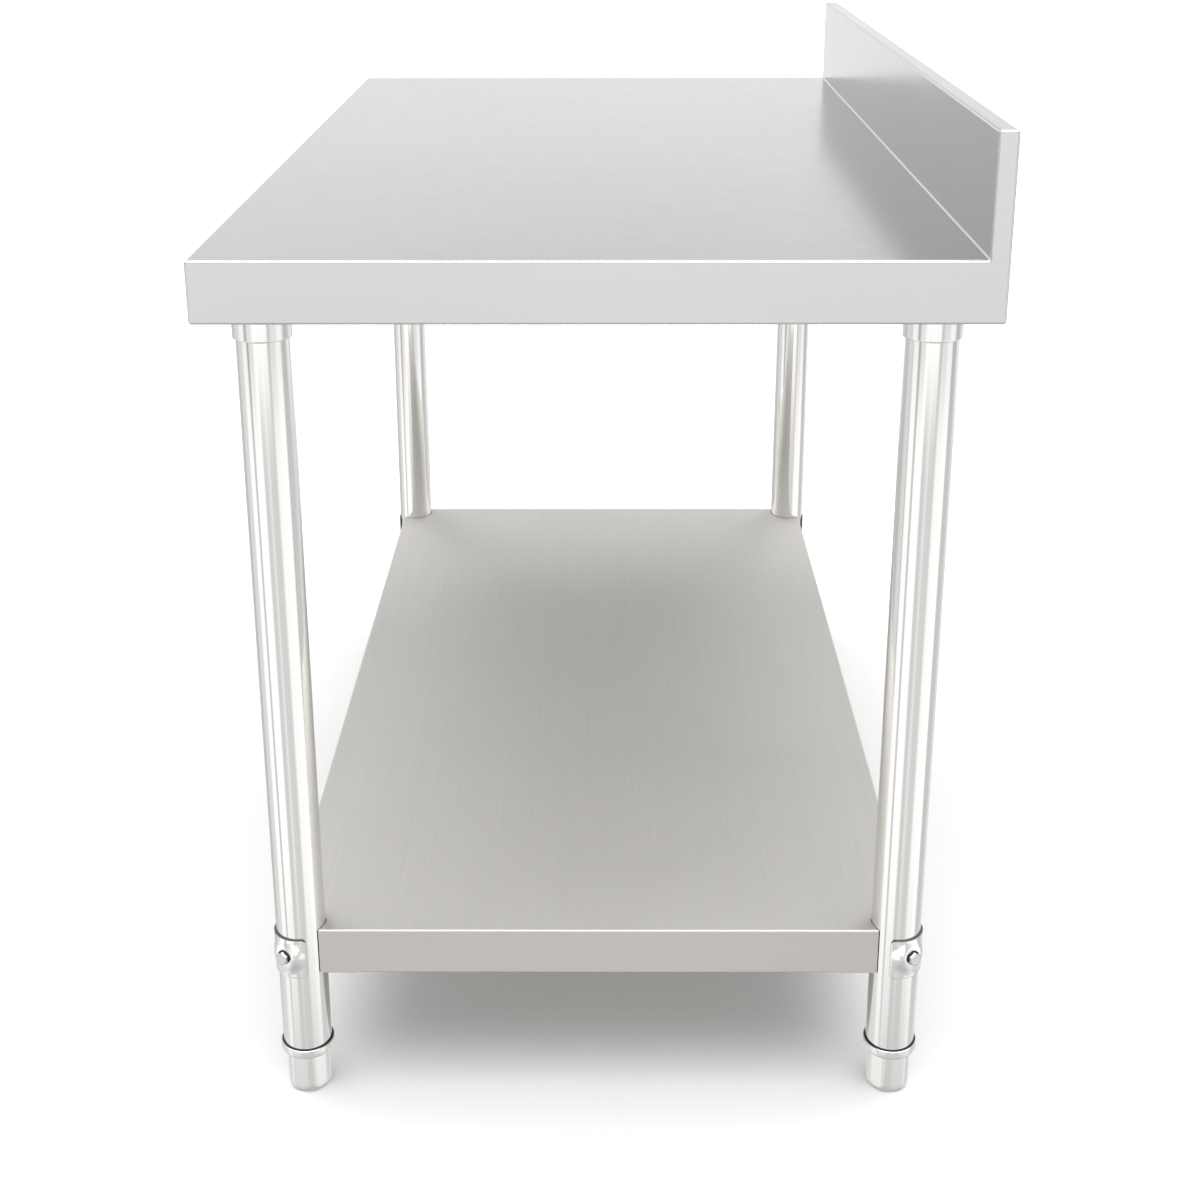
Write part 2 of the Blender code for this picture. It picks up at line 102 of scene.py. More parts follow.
# Camera, in metres, millimetres of lens, and radians about its own Y, X and Z
CAMERA_PLACE = (2.0369, 0.0076, 1.2070)
CAMERA_TURN = (("Y", 0.0036), ("X", -0.3214), ("Z", -0.0013))
CAMERA_LENS = 52.207
CAMERA_SHIFT = -0.15


def box_of(node):
    low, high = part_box(node)
    return Vector(low), Vector(high)


# ---------------------------------------------------------------- materials


class Graph:
    """Builds a material's nodes. A socket given as a number or tuple is a constant."""

    def __init__(self, material):
        material.use_nodes = True
        self.tree = material.node_tree
        self.shader = self.tree.nodes["Principled BSDF"]

    def put(self, socket, value):
        if isinstance(value, bpy.types.NodeSocket):
            self.tree.links.new(value, socket)
        else:
            socket.default_value = value

    def node(self, kind, inputs=None, **settings):
        made = self.tree.nodes.new(kind)
        for key, value in settings.items():
            setattr(made, key, value)
        for key, value in (inputs or {}).items():
            self.put(made.inputs[key], value)
        return made

    def place(self, scale):
        """Object coordinates, stretched by a scale on each axis."""
        where = self.node("ShaderNodeTexCoord").outputs["Object"]
        return self.node("ShaderNodeMapping", {"Vector": where, "Scale": scale}).outputs["Vector"]

    def noise(self, scale, detail=4.0, roughness=0.6, size=1.0):
        made = self.node(
            "ShaderNodeTexNoise",
            {"Vector": self.place(scale), "Scale": size, "Detail": detail, "Roughness": roughness},
        )
        return made.outputs["Fac"]

    def remap(self, value, low, high, source=(0.25, 0.75)):
        made = self.node(
            "ShaderNodeMapRange",
            {"Value": value, "From Min": source[0], "From Max": source[1], "To Min": low, "To Max": high},
        )
        return made.outputs["Result"]

    def math(self, operation, a, b):
        return self.node("ShaderNodeMath", {0: a, 1: b}, operation=operation).outputs[0]

    def tint(self, colour, factor):
        """A colour multiplied by a grey factor."""
        made = self.node("ShaderNodeVectorMath", {0: colour, 1: factor}, operation="MULTIPLY")
        return made.outputs["Vector"]

    def bump(self, height, strength, distance, normal=None):
        inputs = {"Height": height, "Strength": strength, "Distance": distance}
        if normal is not None:
            inputs["Normal"] = normal
        return self.node("ShaderNodeBump", inputs).outputs["Normal"]


def sheet_steel(name, colour, roughness, grain, anisotropy, streaks=1.0, glancing=1.0):
    """Sheet brushed along one axis: grain is 0, 1 or 2 for X, Y or Z. Streaks scales the brushing's
    contrast, and glancing dims the reflections at a grazing angle."""
    material = bpy.data.materials.new(name)
    g = Graph(material)
    fine = [1400.0] * 3
    fine[grain] = 9.0
    coarse = [260.0] * 3
    coarse[grain] = 2.0
    hair = g.noise(tuple(fine), 3.0)
    band = g.noise(tuple(coarse), 4.0, 0.7)
    cloud = g.noise((3.0, 3.0, 3.0), 3.0, 0.5)
    spots = g.noise((38.0, 38.0, 38.0), 2.0, 0.5)
    shade = g.math(
        "MULTIPLY",
        g.remap(hair, 1 - 0.022 * streaks, 1 + 0.022 * streaks),
        g.remap(band, 1 - 0.022 * streaks, 1 + 0.022 * streaks),
    )
    shade = g.math("MULTIPLY", shade, g.remap(cloud, 0.985, 1.015))
    g.put(g.shader.inputs["Base Color"], g.tint(colour, shade))
    rough = g.math("ADD", g.remap(hair, roughness - 0.025, roughness + 0.025), g.remap(cloud, -0.02, 0.02))
    rough = g.math("ADD", rough, g.remap(spots, -0.012, 0.012))
    g.put(g.shader.inputs["Roughness"], rough)
    g.put(g.shader.inputs["Metallic"], 1.0)
    g.put(g.shader.inputs["Anisotropic"], anisotropy)
    g.put(g.shader.inputs["Specular Tint"], (glancing, glancing, glancing, 1.0))
    along = [0.0, 0.0, 0.0]
    along[grain] = 1.0
    facing = g.node("ShaderNodeNewGeometry").outputs["True Normal"]
    across = g.node("ShaderNodeVectorMath", {0: facing, 1: tuple(along)}, operation="CROSS_PRODUCT")
    g.put(g.shader.inputs["Tangent"], across.outputs["Vector"])
    wave = g.bump(cloud, 0.08, 0.004)
    scratch = g.bump(band, 0.04 * streaks, 0.0002, wave)
    g.put(g.shader.inputs["Normal"], g.bump(hair, 0.05 * streaks, 0.0001, scratch))
    return material


def polished_steel(name, colour, roughness, ripple=0.05):
    """Polished tube and fittings: faint drawn lines along Z, and smudges."""
    material = bpy.data.materials.new(name)
    g = Graph(material)
    drawn = g.noise((420.0, 420.0, 2.5), 3.0)
    smudge = g.noise((22.0, 22.0, 9.0), 4.0, 0.6)
    mark = g.noise((2200.0, 2200.0, 2200.0), 2.0)
    g.put(g.shader.inputs["Base Color"], g.tint(colour, g.remap(drawn, 0.975, 1.025)))
    smudged = g.remap(smudge, roughness - 0.02, roughness + 0.035)
    rough = g.math("ADD", smudged, g.remap(drawn, -0.008, 0.008))
    g.put(g.shader.inputs["Roughness"], rough)
    g.put(g.shader.inputs["Metallic"], 1.0)
    wave = g.bump(drawn, ripple, 0.0002)
    g.put(g.shader.inputs["Normal"], g.bump(mark, 0.03, 0.00003, wave))
    return material


def machined_steel(name, colour, roughness):
    """Bolts, nuts and threads: turned metal, a little duller in patches."""
    material = bpy.data.materials.new(name)
    g = Graph(material)
    patch = g.noise((240.0, 240.0, 240.0), 4.0, 0.6)
    grain = g.noise((3000.0, 3000.0, 3000.0), 2.0)
    g.put(g.shader.inputs["Base Color"], g.tint(colour, g.remap(patch, 0.90, 1.06)))
    g.put(g.shader.inputs["Roughness"], g.remap(patch, roughness - 0.06, roughness + 0.08))
    g.put(g.shader.inputs["Metallic"], 1.0)
    g.put(g.shader.inputs["Normal"], g.bump(grain, 0.12, 0.00004))
    return material


def nylon(name, colour):
    """Moulded nylon with a fine spark-eroded texture."""
    material = bpy.data.materials.new(name)
    g = Graph(material)
    pebble = g.noise((1800.0, 1800.0, 1800.0), 3.0)
    cloud = g.noise((90.0, 90.0, 90.0), 3.0)
    g.put(g.shader.inputs["Base Color"], g.tint(colour, g.remap(cloud, 0.85, 1.15)))
    g.put(g.shader.inputs["Roughness"], g.remap(pebble, 0.48, 0.62))
    g.put(g.shader.inputs["Normal"], g.bump(pebble, 0.25, 0.00008))
    return material


BRUSHED = (0.630, 0.625, 0.627)
SHELF = (0.785, 0.770, 0.742)
SHELF_EDGE = (0.605, 0.578, 0.547)
POLISHED = (0.800, 0.792, 0.775)
SCREW = (0.600, 0.600, 0.600)
# Painted shade: a dark grey on the clamp plates' edges, standing in for the shadow gap where each plate
# meets the leg
PLATE_EDGE_SHADE = (0.200, 0.196, 0.190)
GLIDE = (0.055, 0.055, 0.057)
# Painted shade: near black on the bolts' washers and on a thin ring atop each foot plug, standing in for
# shadow gaps
BLACK_SHADE = (0.012, 0.012, 0.012)
FLOOR = (0.73, 0.73, 0.73, 1.0)

FINISH = {
    "top": sheet_steel("steel_brushed_x", BRUSHED, 0.20, 0, 0.50, 0.5, 0.72),
    "end": sheet_steel("steel_brushed_y", BRUSHED, 0.28, 1, 0.55, 0.6, 0.72),
    "shelf": sheet_steel("shelf_steel_x", SHELF, 0.56, 0, 0.40, 1.0, 0.70),
    "shelf_y": sheet_steel("shelf_steel_y", SHELF_EDGE, 0.40, 1, 0.50, 0.6, 0.80),
    "tube": polished_steel("tube_polished", POLISHED, 0.07),
    "fitting": polished_steel("fitting_polished", POLISHED, 0.10, 0.08),
    "screw": machined_steel("screw_steel", SCREW, 0.26),
    # the plates' edges: a dark painted shade for the shadow gap along the leg
    "edge_shade": machined_steel("plate_edge_painted_shade", PLATE_EDGE_SHADE, 0.45),
    "glide": nylon("glide_nylon", GLIDE),
    # near black that paints the shadow round each bolt head and along the top of each foot plug's ring
    "black_shade": nylon("black_painted_shade", BLACK_SHADE),
}


# ---------------------------------------------------------------- mesh tools

PIECES = []


def piece(name, shape, finish, body, nodes=(), smooth_angle=35, matrix=None, second=None):
    """Turns a bmesh into a piece of the object, in the row frame, riding on its body. The faces with
    material index 1 take the second finish."""
    bmesh.ops.remove_doubles(shape, verts=shape.verts, dist=1e-6)
    if matrix is not None:
        bmesh.ops.transform(shape, matrix=matrix, verts=shape.verts)
    bmesh.ops.recalc_face_normals(shape, faces=shape.faces)
    mesh = bpy.data.meshes.new(name)
    shape.to_mesh(mesh)
    shape.free()
    mesh.shade_smooth()
    mesh.set_sharp_from_angle(angle=math.radians(smooth_angle))
    mesh.materials.append(FINISH[finish])
    if second:
        mesh.materials.append(FINISH[second])
    made = bpy.data.objects.new(name, mesh)
    bpy.context.scene.collection.objects.link(made)
    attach(made, body)
    if nodes:
        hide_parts(*nodes)
    PIECES.append((made, smooth_angle))
    return made


def bake(made):
    """Applies a piece's modifiers."""
    bpy.context.view_layer.update()
    view = made.evaluated_get(bpy.context.evaluated_depsgraph_get())
    mesh = bpy.data.meshes.new_from_object(view)
    made.modifiers.clear()
    made.data = mesh


def settle():
    """Smooth shading whose normals follow the large faces, so that flat sheet stays flat beside a bend."""
    for made, angle in PIECES:
        if made.modifiers:
            bake(made)
        made.data.shade_smooth()
        made.data.set_sharp_from_angle(angle=math.radians(angle))
        weighted = made.modifiers.new("weighted_normals", "WEIGHTED_NORMAL")
        weighted.mode = "FACE_AREA"
        weighted.weight = 50
        weighted.keep_sharp = True


def rounded(points, radius, closed=False, steps=BEND_STEPS):
    """Points and left-hand unit normals along a 2-D path whose corners are turned into arcs."""
    count = len(points)
    found = []

    def normal(a, b):
        run = (Vector(b) - Vector(a)).normalized()
        return Vector((-run.y, run.x))

    if not closed:
        found.append((Vector(points[0]), normal(points[0], points[1])))
    for i in range(count) if closed else range(1, count - 1):
        before, corner, after = Vector(points[i - 1]), Vector(points[i]), Vector(points[(i + 1) % count])
        first, last = normal(before, corner), normal(corner, after)
        turn = math.atan2(first.x * last.y - first.y * last.x, first.dot(last))
        side = 1 if turn > 0 else -1
        reach = radius * math.tan(abs(turn) / 2)
        start = corner - (corner - before).normalized() * reach
        centre = start + first * radius * side
        for step in range(steps + 1):
            here = Matrix.Rotation(turn * step / steps, 2) @ first
            found.append((centre - here * radius * side, here))
    if not closed:
        found.append((Vector(points[-1]), normal(points[-2], points[-1])))
    return found


def sheet_section(points, radius, thickness, left):
    """The closed outline of a folded sheet: the path is its seen side, and left tells where it thickens."""
    path = rounded(points, radius)
    side = thickness if left else -thickness
    return [p for p, _ in path] + [p + n * side for p, n in reversed(path)]


def swept(outline, place, stations):
    """A closed body: an outline carried through stations. place(station, point) gives the 3-D point."""
    shape = bmesh.new()
    rings = [[shape.verts.new(place(s, p)) for p in outline] for s in stations]
    count = len(outline)
    for a, b in zip(rings, rings[1:]):
        for i in range(count):
            j = (i + 1) % count
            shape.faces.new((a[i], a[j], b[j], b[i]))
    half = count // 2
    for ring in (rings[0], rings[-1]):
        for i in range(half - 1):
            shape.faces.new((ring[i], ring[i + 1], ring[count - 2 - i], ring[count - 1 - i]))
    return shape


def turned(sections, segments=TURN, closed=False):
    """A body round Z. A section is (radius, z), where the radius may be a function of the angle and z,
    and a radius of 0 is a point on the axis."""
    shape = bmesh.new()
    rings = []
    for radius, z in sections:
        if radius == 0:
            rings.append([shape.verts.new((0, 0, z))])
            continue
        ring = []
        for i in range(segments):
            angle = math.tau * i / segments
            r = radius(angle, z) if callable(radius) else radius
            ring.append(shape.verts.new((r * math.cos(angle), r * math.sin(angle), z)))
        rings.append(ring)
    pairs = list(zip(rings, rings[1:]))
    if closed:
        pairs.append((rings[-1], rings[0]))
    for lower, upper in pairs:
        if len(lower) == 1 and len(upper) == 1:
            continue
        for i in range(segments):
            j = (i + 1) % segments
            if len(lower) == 1:
                shape.faces.new((lower[0], upper[i], upper[j]))
            elif len(upper) == 1:
                shape.faces.new((lower[i], lower[j], upper[0]))
            else:
                shape.faces.new((lower[i], lower[j], upper[j], upper[i]))
    if not closed:
        for ring in (rings[0], rings[-1]):
            if len(ring) > 1:
                shape.faces.new(ring)
    return shape


def fillet(radius_a, z_a, radius_b, z_b, steps=5, bulge_out=True):
    """Sections of a quarter turn from (radius_a, z_a) to (radius_b, z_b). It leaves along Z if it bulges
    out, and else along the radius."""
    found = []
    for i in range(steps + 1):
        t = math.pi / 2 * i / steps
        if bulge_out:
            share_r, share_z = 1 - math.cos(t), math.sin(t)
        else:
            share_r, share_z = math.sin(t), 1 - math.cos(t)
        found.append((radius_a + (radius_b - radius_a) * share_r, z_a + (z_b - z_a) * share_z))
    return found


def hexagon(across_flats, blend=0.0):
    """The radius of a hexagon at an angle, its corners rounded by the blend share."""

    def radius(angle, z=0.0):
        sharp = across_flats / 2 / math.cos(angle % (math.pi / 3) - math.pi / 6)
        limit = across_flats / 2 / math.cos(math.pi / 6) * (1 - blend)
        return min(sharp, limit)

    return radius


def soft_min(a, b, width):
    share = max(0.0, min(1.0, 0.5 + 0.5 * (b - a) / width))
    return b + (a - b) * share - width * share * (1 - share)


def along_x(shape, height):
    """Lays a body that was built along Z along X, its axis at the height."""
    turn = Matrix.Translation((0, 0, height)) @ Matrix.Rotation(math.pi / 2, 4, "Y")
    bmesh.ops.transform(shape, matrix=turn, verts=shape.verts)
    return shape


def soften(made, width, segments=2, angle=55):
    """A small round on the sharp edges."""
    edge = made.modifiers.new("soft_edges", "BEVEL")
    edge.width = width
    edge.segments = segments
    edge.limit_method = "ANGLE"
    edge.angle_limit = math.radians(angle)
    edge.harden_normals = False
    return made


# ---------------------------------------------------------------- worktop


table_low, table_high = box_of("worktop")
end_x = box_of("end_plate_right")[1].x
front_y, back_y = table_low.y, table_high.y
skirt_z, crest_z = table_low.z, table_high.z
top_z = box_of("top_channel_right")[1].z + SHEET + GAP
upstand_y = back_y - UPSTAND_DEPTH


def build_worktop():
    outline = sheet_section(
        [
            (front_y + LIP, skirt_z),
            (front_y, skirt_z),
            (front_y, top_z),
            (upstand_y, top_z),
            (upstand_y, crest_z),
            (back_y, crest_z),
            (back_y, skirt_z),
            (back_y - LIP, skirt_z),
        ],
        BEND,
        SHEET,
        left=False,
    )
    reach = end_x - BEND - SEAM
    shape = swept(outline, lambda x, p: (x, p.x, p.y), [-reach, 0.0, reach])
    made = piece("worktop_sheet", shape, "top", ROOT, ["worktop"])
    return soften(made, EDGE_BREAK, 1)


def build_end_cap(side, name, node):
    """The L-shaped end plate: a shallow tray with a rounded rim, and a lip along its lower edge."""
    corners = [
        (back_y, skirt_z),
        (back_y, crest_z),
        (upstand_y, crest_z),
        (upstand_y, top_z),
        (front_y, top_z),
        (front_y, skirt_z),
    ]
    loop = []
    for point, normal in rounded(corners, CAP_BEND, closed=True):
        loop.append((point, normal, 0.0))
    # the two ends of the lip are doubled, so that the rim can step in depth there
    lower = Vector((0, 1))
    reach = END_LIP_REACH
    for y, deep in ((-reach, 0.0), (-reach, 1.0), (reach, 1.0), (reach, 0.0)):
        loop.append((Vector((y, skirt_z)), lower, deep))
    shape = bmesh.new()

    def ring(inset, depth, lip_depth=None):
        made = []
        for point, normal, deep in loop:
            spot = point + normal * inset
            far = lip_depth if deep and lip_depth is not None else depth
            made.append(shape.verts.new((side * (end_x - far), spot.x, spot.y)))
        return made

    rings = []
    for step in range(BEND_STEPS + 1):
        t = math.pi / 2 * step / BEND_STEPS
        rings.append(ring(BEND * (1 - math.sin(t)), BEND * (1 - math.cos(t))))
    rings.append(ring(0.0, BEND, LIP))
    rings.append(ring(SHEET, BEND, LIP))
    inner = BEND - SHEET
    for step in range(BEND_STEPS, -1, -1):
        t = math.pi / 2 * step / BEND_STEPS
        rings.append(ring(SHEET + inner * (1 - math.sin(t)), SHEET + inner * (1 - math.cos(t))))
    count = len(loop)
    for a, b in zip(rings, rings[1:]):
        for i in range(count):
            j = (i + 1) % count
            shape.faces.new((a[i], a[j], b[j], b[i]))
    shape.faces.new(rings[0])
    shape.faces.new(rings[-1])
    bmesh.ops.remove_doubles(shape, verts=shape.verts, dist=1e-6)
    bmesh.ops.dissolve_degenerate(shape, edges=shape.edges, dist=1e-6)
    return piece(name, shape, "end", ROOT, [node])


def hat_outline(depth):
    slope_top = CHANNEL_WEB_HALF + CHANNEL_SLOPE
    return sheet_section(
        [
            (-CHANNEL_FLANGE_HALF, 0.0),
            (-slope_top, 0.0),
            (-CHANNEL_WEB_HALF, SHEET - depth),
            (CHANNEL_WEB_HALF, SHEET - depth),
            (slope_top, 0.0),
            (CHANNEL_FLANGE_HALF, 0.0),
        ],
        BEND,
        SHEET,
        left=False,
    )


def build_channels():
    for name in ("left", "centre", "right"):
        node = "top_channel_" + name
        low, high = box_of(node)
        middle = (low.x + high.x) / 2
        outline = hat_outline(high.z - low.z)
        shape = swept(outline, lambda y, p: (middle + p.x, y, high.z + p.y), [low.y, high.y])
        soften(piece("channel_" + name, shape, "shelf_y", ROOT, [node]), EDGE_BREAK, 1)
    low, high = box_of("shelf_channel")
    outline = hat_outline(high.z - low.z)
    shape = swept(outline, lambda x, p: (x, p.x, high.z + p.y), [low.x, high.x])
    soften(piece("channel_shelf", shape, "shelf", ROOT, ["shelf_channel"]), EDGE_BREAK, 1)


# ---------------------------------------------------------------- undershelf


def build_shelf():
    low, high = box_of("undershelf")
    leg_low, leg_high = box_of("leg_front_right")
    leg_x = (leg_low.x + leg_high.x) / 2
    leg_y = -(leg_low.y + leg_high.y) / 2
    end, side, top, bottom = high.x, high.y, high.z, low.z
    shape = bmesh.new()

    def notch_y(x):
        """Where the hollow round the leg meets the end flange."""
        return leg_y - math.sqrt(max(0.0, NOTCH_RADIUS**2 - (x - leg_x) ** 2))

    def notch_x(y):
        """Where it meets the side flange."""
        return leg_x - math.sqrt(max(0.0, NOTCH_RADIUS**2 - (y - leg_y) ** 2))

    flat_end, flat_side = end - SHELF_BEND, side - SHELF_BEND
    start = math.atan2(notch_y(flat_end) - leg_y, flat_end - leg_x)
    stop = math.atan2(flat_side - leg_y, notch_x(flat_side) - leg_x) - math.tau
    quarter = []
    for step in range(NOTCH_STEPS + 1):
        angle = start + (stop - start) * step / NOTCH_STEPS
        quarter.append((leg_x + NOTCH_RADIUS * math.cos(angle), leg_y + NOTCH_RADIUS * math.sin(angle)))
    lip_y, lip_x = notch_y(end) - SHELF_LIP_SETBACK, notch_x(side) - SHELF_LIP_SETBACK
    rim = []
    for sx, sy, flip in ((1, 1, False), (-1, 1, True), (-1, -1, False), (1, -1, True)):
        points = [(sx * flat_end, sy * lip_y)] + [(sx * x, sy * y) for x, y in quarter]
        points += [(sx * lip_x, sy * flat_side)]
        rim += points[::-1] if flip else points
    shape.faces.new([shape.verts.new((x, y, top)) for x, y in rim])

    def strip(edge, flat, run_end, place):
        """One flange: edge is its outer face, and run_end(out) is how far it runs at a distance out."""
        bend = []
        for step in range(BEND_STEPS + 1):
            t = math.pi / 2 * step / BEND_STEPS
            bend.append((flat + SHELF_BEND * math.sin(t), top - SHELF_BEND * (1 - math.cos(t))))
        lower = []
        for step in range(BEND_STEPS + 1):
            t = math.pi / 2 * step / BEND_STEPS
            lower.append((flat + SHELF_BEND * math.cos(t), bottom + SHELF_BEND * (1 - math.sin(t))))
        lower.append((edge - SHELF_LIP, bottom))
        inner_run = run_end(edge) - SHELF_LIP_SETBACK
        rows = []
        for out, z in bend + [(edge, bottom + SHELF_BEND)]:
            reach = run_end(out)
            marks = (-reach, -inner_run, inner_run, reach)
            rows.append([shape.verts.new(place(out, along, z)) for along in marks])
        for a, b in zip(rows, rows[1:]):
            for i in range(3):
                shape.faces.new((a[i], a[i + 1], b[i + 1], b[i]))
        reach = run_end(edge)
        for sign in (-1, 1):
            corner = [(edge, sign * reach, bottom + SHELF_BEND), (edge, sign * reach, bottom)]
            corner += [(edge, sign * inner_run, bottom), (edge, sign * inner_run, bottom + SHELF_BEND)]
            shape.faces.new([shape.verts.new(place(*c)) for c in corner])
        rows = []
        for out, z in lower:
            rows.append([shape.verts.new(place(out, along, z)) for along in (-inner_run, inner_run)])
        for a, b in zip(rows, rows[1:]):
            shape.faces.new((a[0], a[1], b[1], b[0]))

    for sign in (-1, 1):
        strip(end, flat_end, notch_y, lambda out, along, z, s=sign: (s * out, along, z))
        strip(side, flat_side, notch_x, lambda out, along, z, s=sign: (along, s * out, z))
    bmesh.ops.remove_doubles(shape, verts=shape.verts, dist=1e-5)
    bmesh.ops.recalc_face_normals(shape, faces=shape.faces)
    top_face = max(shape.faces, key=lambda f: f.calc_area())
    if top_face.normal.z < 0:
        bmesh.ops.reverse_faces(shape, faces=shape.faces)
    mesh = bpy.data.meshes.new("shelf_pan")
    shape.to_mesh(mesh)
    shape.free()
    mesh.materials.append(FINISH["shelf"])
    mesh.materials.append(FINISH["shelf_y"])
    for face in mesh.polygons:
        if abs(face.normal.x) > 0.75:
            face.material_index = 1
    made = bpy.data.objects.new("shelf_pan", mesh)
    bpy.context.scene.collection.objects.link(made)
    solid = made.modifiers.new("sheet", "SOLIDIFY")
    solid.thickness = SHEET
    solid.offset = -1.0
    solid.use_even_offset = True
    solid.use_quality_normals = True
    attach(made, ROOT)
    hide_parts("undershelf")
    PIECES.append((made, 35))
    return soften(made, SHELF_EDGE_BREAK, 2, 60)


# ---------------------------------------------------------------- legs


def leg_frame(side_x, side_y, turn=0.0):
    """A frame on the floor under a leg. +X points outward along the diagonal, less a turn."""
    low, high = box_of("leg_front_right")
    x, y = (low.x + high.x) / 2, -(low.y + high.y) / 2
    angle = math.atan2(side_y, side_x) - turn
    return Matrix.Translation((side_x * x, side_y * y, 0)) @ Matrix.Rotation(angle, 4, "Z")


def build_tube(name, matrix):
    low, high = box_of("leg_" + name)
    radius = (high.x - low.x) / 2
    inner = radius - LEG_WALL
    edge = 0.0003
    sections = [(inner, high.z), (inner, low.z + edge)]
    sections += fillet(inner, low.z + edge, inner + edge, low.z, 3)
    sections += fillet(radius - edge, low.z, radius, low.z + edge, 3, False)
    sections += [(radius, low.z + (high.z - low.z) * i / 8) for i in range(1, 8)]
    sections += [(radius, high.z)]
    piece("tube_" + name, turned(sections, closed=True), "tube", ROOT, ["leg_" + name], matrix=matrix)
    return radius


def cutter(name, shape, matrix):
    mesh = bpy.data.meshes.new(name)
    bmesh.ops.transform(shape, matrix=matrix, verts=shape.verts)
    bmesh.ops.recalc_face_normals(shape, faces=shape.faces)
    shape.to_mesh(mesh)
    shape.free()
    made = bpy.data.objects.new(name, mesh)
    bpy.context.scene.collection.objects.link(made)
    return made


def combine(made, tool, operation):
    """Applies a boolean and removes its tool."""
    step = made.modifiers.new(operation, "BOOLEAN")
    step.object = tool
    step.operation = operation
    step.solver = "EXACT"
    bake(made)
    bpy.data.objects.remove(tool, do_unlink=True)


def build_cup(name, matrix, leg_radius):
    low, high = box_of("leg_cup_" + name)
    bottom, roof = low.z, high.z
    outer = 0.0270
    bore = leg_radius + GAP
    flange = (high.x - low.x) / 2
    flange_edge = 0.0006
    plate = 0.003
    lip = 0.0018
    bead = 0.0014
    sections = [(0, roof - plate), (bore, roof - plate), (bore, bottom + lip)]
    sections += fillet(bore, bottom + lip, bore + 0.0009, bottom, 4)
    sections += fillet(outer - lip, bottom, outer, bottom + lip, 6, False)
    sections += [(outer, (bottom + roof) / 2), (outer, roof - plate - bead)]
    sections += fillet(outer, roof - plate - bead, outer + bead, roof - plate, 5, True)
    sections += fillet(flange - flange_edge, roof - plate, flange, roof - plate + flange_edge, 4, False)
    sections += [(flange, roof), (0, roof)]
    made = piece("cup_" + name, turned(sections), "fitting", ROOT, ["leg_cup_" + name], matrix=matrix)
    boss_radius, boss_face, boss_root = 0.0068, -0.0305, 0.0005 - outer
    sections = [(0, boss_face), (boss_radius - 0.0008, boss_face), (boss_radius, boss_face + 0.0006)]
    sections += [(boss_radius, boss_root), (0, boss_root)]
    boss = along_x(turned(sections, 48), SET_SCREW_HEIGHT)
    combine(made, cutter("boss", boss, matrix), "UNION")
    bore, start, stop = BOLT_RADIUS + GAP, -0.040, -0.010
    hole = along_x(turned([(0, start), (bore, start), (bore, stop), (0, stop)], 48), SET_SCREW_HEIGHT)
    combine(made, cutter("hole", hole, matrix), "DIFFERENCE")
    socket = hexagon(0.004)
    end, deep = -0.0325, -0.0295
    screw = turned(
        [
            (0, deep),
            (socket, deep),
            (socket, end),
            (BOLT_RADIUS - 0.0005, end),
            (BOLT_RADIUS, end + 0.0005),
            (BOLT_RADIUS, -leg_radius - GAP),
            (0, -leg_radius - GAP),
        ],
        60,
    )
    screw = along_x(screw, SET_SCREW_HEIGHT)
    piece("setscrew_" + name, screw, "screw", ROOT, ["cup_screw_" + name], matrix=matrix)


